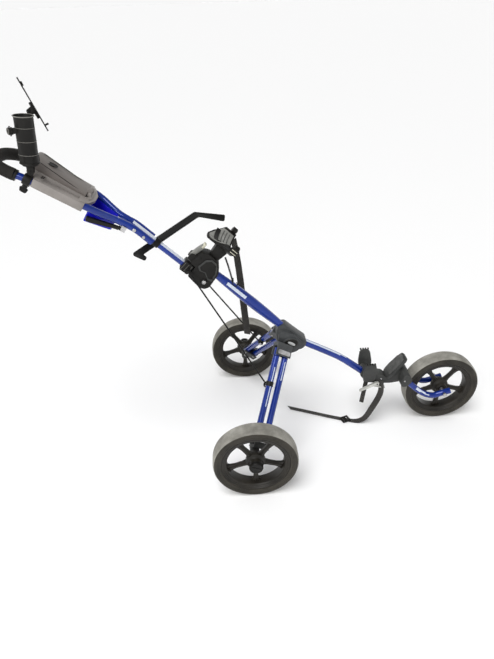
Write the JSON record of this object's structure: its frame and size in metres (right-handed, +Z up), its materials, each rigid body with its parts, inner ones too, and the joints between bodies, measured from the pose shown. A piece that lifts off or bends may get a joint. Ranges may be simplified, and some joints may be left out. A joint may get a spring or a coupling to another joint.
{
  "type": "golf push cart",
  "caption": "Three-wheeled golf push cart with folding legs and handle, bag supports, console, umbrella holder and scorecard plate",
  "frame": {"origin": "on the floor, centred under the cart's bounding box without its free straps", "axes": "+X towards the front wheel, +Y to the cart's left side, +Z up"},
  "size_m": [1.6632, 0.7786, 1.3341],
  "materials": {
    "frame_paint": "glossy metallic paint",
    "steel_hardware": "zinc plated",
    "hub_plastic": "moulded, satin",
    "black_plastic": "moulded, fine grain",
    "black_metal": "black coating, satin",
    "pad_rubber": "soft pad, matte",
    "latch_grey": "moulded, satin",
    "grip_foam": "foam sleeve, matte",
    "console_taupe": "moulded, fine grain",
    "pouch_blue": "moulded, slight gloss",
    "wheel_rim": "moulded, satin",
    "tyre_tread": "worn foam-rubber tread",
    "webbing": "woven webbing",
    "shock_cord": "braided cover"
  },
  "bodies": {
    "frame": {"main_tube": "frame_paint", "front_tube": "frame_paint", "hub_body": "hub_plastic", "leg_pin_plate_left": "steel_hardware", "leg_pin_plate_right": "steel_hardware", "inner_tube": "frame_paint", "upper_block": "black_plastic", "block_bolt": "steel_hardware", "bag_cradle": "black_plastic", "cradle_pad": "pad_rubber", "support_bail": "black_metal", "fold_pin": "steel_hardware", "lower_bracket": "hub_plastic", "stop_plate": "black_plastic", "lower_wing_left": "black_plastic", "lower_wing_right": "black_plastic", "fork_arm_left": "frame_paint", "fork_arm_right": "frame_paint", "front_axle": "steel_hardware", "lower_strap": "webbing", "lower_strap_tail": "webbing", "upper_strap": "webbing", "upper_bungee": "shock_cord", "strap_buckle": "black_plastic"},
    "wheel_front": {"front_wheel_rim": "wheel_rim", "front_wheel_tyre": "tyre_tread"},
    "collar": {"slide_collar": "black_plastic"},
    "handle": {"handle_tube": "frame_paint", "handle_grip": "grip_foam", "console_body": "console_taupe", "accessory_pouch": "pouch_blue", "umbrella_clamp": "black_plastic", "scorecard_stem": "black_plastic"},
    "release_lever_body": {"release_lever": "black_plastic"},
    "console_lid_body": {"console_lid": "console_taupe"},
    "umbrella": {"umbrella_holder": "black_plastic"},
    "umbrella_knob_body": {"umbrella_knob": "black_plastic"},
    "wing_screw_body": {"wing_screw": "black_plastic"},
    "scorecard": {"scorecard_plate": "black_plastic"},
    "latch": {"latch_lever": "latch_grey"},
    "lower_latch_body": {"lower_latch": "steel_hardware"},
    "leg_front_left": {"leg_front_tube_left": "frame_paint"},
    "leg_rear_left": {"leg_rear_tube_left": "frame_paint"},
    "carrier_left": {"wheel_carrier_left": "hub_plastic", "carrier_pin_plate_left": "steel_hardware", "rear_axle_left": "steel_hardware"},
    "wheel_left": {"rear_wheel_left_rim": "wheel_rim", "rear_wheel_left_tyre": "tyre_tread", "rear_wheel_left_hub_cap": "black_plastic"},
    "stay_left": {"stay_rod_left": "black_metal"},
    "leg_front_right": {"leg_front_tube_right": "frame_paint"},
    "leg_rear_right": {"leg_rear_tube_right": "frame_paint"},
    "carrier_right": {"wheel_carrier_right": "hub_plastic", "carrier_pin_plate_right": "steel_hardware", "rear_axle_right": "steel_hardware"},
    "wheel_right": {"rear_wheel_right_rim": "wheel_rim", "rear_wheel_right_tyre": "tyre_tread", "rear_wheel_right_hub_cap": "black_plastic"},
    "stay_right": {"stay_rod_right": "black_metal"}
  },
  "joints": [
    {"name": "leg_fold_left", "type": "hinge", "parent": "frame", "child": "leg_front_left", "pos_m": [0.0475, 0.06, 0.3837], "axis": [0.4767, 0.7308, 0.4885], "range_deg": [0, 40]},
    {"name": "leg_rear_fold_left", "type": "hinge", "parent": "frame", "child": "leg_rear_left", "pos_m": [0.01611, 0.06694, 0.40396], "axis": [0.4767, 0.7308, 0.4885], "range_deg": [0, 40]},
    {"name": "carrier_swing_left", "type": "hinge", "parent": "leg_front_left", "child": "carrier_left", "pos_m": [-0.04921, 0.27179, 0.16127], "axis": [0.4767, 0.7308, 0.4885], "range_deg": [-40, 0]},
    {"name": "wheel_spin_left", "type": "hinge", "parent": "carrier_left", "child": "wheel_left", "pos_m": [-0.0889, 0.345, 0.1485], "axis": [0, 1, 0], "continuous": true},
    {"name": "leg_fold_right", "type": "hinge", "parent": "frame", "child": "leg_front_right", "pos_m": [0.0475, -0.06, 0.3837], "axis": [-0.4767, 0.7308, -0.4885], "range_deg": [0, 40]},
    {"name": "leg_rear_fold_right", "type": "hinge", "parent": "frame", "child": "leg_rear_right", "pos_m": [0.01611, -0.06694, 0.40396], "axis": [-0.4767, 0.7308, -0.4885], "range_deg": [0, 40]},
    {"name": "carrier_swing_right", "type": "hinge", "parent": "leg_front_right", "child": "carrier_right", "pos_m": [-0.04921, -0.27179, 0.16127], "axis": [-0.4767, 0.7308, -0.4885], "range_deg": [-40, 0]},
    {"name": "wheel_spin_right", "type": "hinge", "parent": "carrier_right", "child": "wheel_right", "pos_m": [-0.0889, -0.345, 0.1485], "axis": [0, 1, 0], "continuous": true},
    {"name": "collar_slide", "type": "slide", "parent": "frame", "child": "collar", "axis": [-0.7157, 0, 0.6984], "range_m": [0, 0.08539]},
    {"name": "stay_hinge_left", "type": "hinge", "parent": "collar", "child": "stay_left", "pos_m": [-0.2814, 0.033, 0.7284], "axis": [-0.4868, -0.7349, -0.4721], "range_deg": [0, 0.7903]},
    {"name": "stay_hinge_right", "type": "hinge", "parent": "collar", "child": "stay_right", "pos_m": [-0.2814, -0.033, 0.7284], "axis": [0.4868, -0.7349, 0.4721], "range_deg": [0, 0.7903]},
    {"name": "wheel_spin_front", "type": "hinge", "parent": "frame", "child": "wheel_front", "pos_m": [0.6831, 0, 0.1485], "axis": [0, 1, 0], "continuous": true},
    {"name": "handle_fold", "type": "hinge", "parent": "frame", "child": "handle", "pos_m": [-0.43957, 0, 0.88275], "axis": [0, 1, 0], "range_deg": [0, 110]},
    {"name": "release_lever_swing", "type": "hinge", "parent": "handle", "child": "release_lever_body", "pos_m": [-0.47476, -0.03, 0.88612], "axis": [0, -1, 0], "range_deg": [0, 25], "stiffness_Nm_per_rad": 0.3, "springref_deg": -17.19},
    {"name": "console_lid_hinge", "type": "hinge", "parent": "handle", "child": "console_lid_body", "pos_m": [-0.56056, 0, 1.00004], "axis": [0, 1, 0], "range_deg": [0, 70]},
    {"name": "umbrella_tilt", "type": "hinge", "parent": "handle", "child": "umbrella", "pos_m": [-0.69673, -0.085, 1.095], "axis": [0, 1, 0], "range_deg": [-5, 45]},
    {"name": "umbrella_knob_turn", "type": "hinge", "parent": "umbrella", "child": "umbrella_knob_body", "pos_m": [-0.71006, -0.10221, 1.20889], "axis": [-0.8151, -0.5736, 0.0814], "continuous": true},
    {"name": "wing_screw_turn", "type": "hinge", "parent": "handle", "child": "wing_screw_body", "pos_m": [-0.7254, -0.085, 1.05282], "axis": [-0.5621, 0, -0.8271], "continuous": true},
    {"name": "scorecard_tilt", "type": "hinge", "parent": "handle", "child": "scorecard", "pos_m": [-0.69184, 0, 1.23919], "axis": [-0.315, 0.9421, -0.1153], "range_deg": [-22, 22]},
    {"name": "latch_lever_swing", "type": "hinge", "parent": "frame", "child": "latch", "pos_m": [-0.26708, 0, 0.77172], "axis": [0, -1, 0], "range_deg": [0, 40], "stiffness_Nm_per_rad": 0.2, "springref_deg": -17.19},
    {"name": "lower_latch_swing", "type": "hinge", "parent": "frame", "child": "lower_latch_body", "pos_m": [0.4131, -0.04, 0.203], "axis": [0, -1, 0], "range_deg": [0, 45]}
  ],
  "couplings": [
    {"joint": "leg_fold_right", "follows": "leg_fold_left", "ratio": 1},
    {"joint": "leg_rear_fold_left", "follows": "leg_fold_left", "ratio": 1},
    {"joint": "carrier_swing_left", "follows": "leg_fold_left", "ratio": -1},
    {"joint": "leg_rear_fold_right", "follows": "leg_fold_left", "ratio": 1},
    {"joint": "carrier_swing_right", "follows": "leg_fold_left", "ratio": -1},
    {"joint": "collar_slide", "follows": "leg_fold_left", "m_per_rad": 0.12231},
    {"joint": "stay_hinge_left", "follows": "leg_fold_left", "ratio": 0.019757},
    {"joint": "stay_hinge_right", "follows": "leg_fold_left", "ratio": 0.019757}
  ]
}
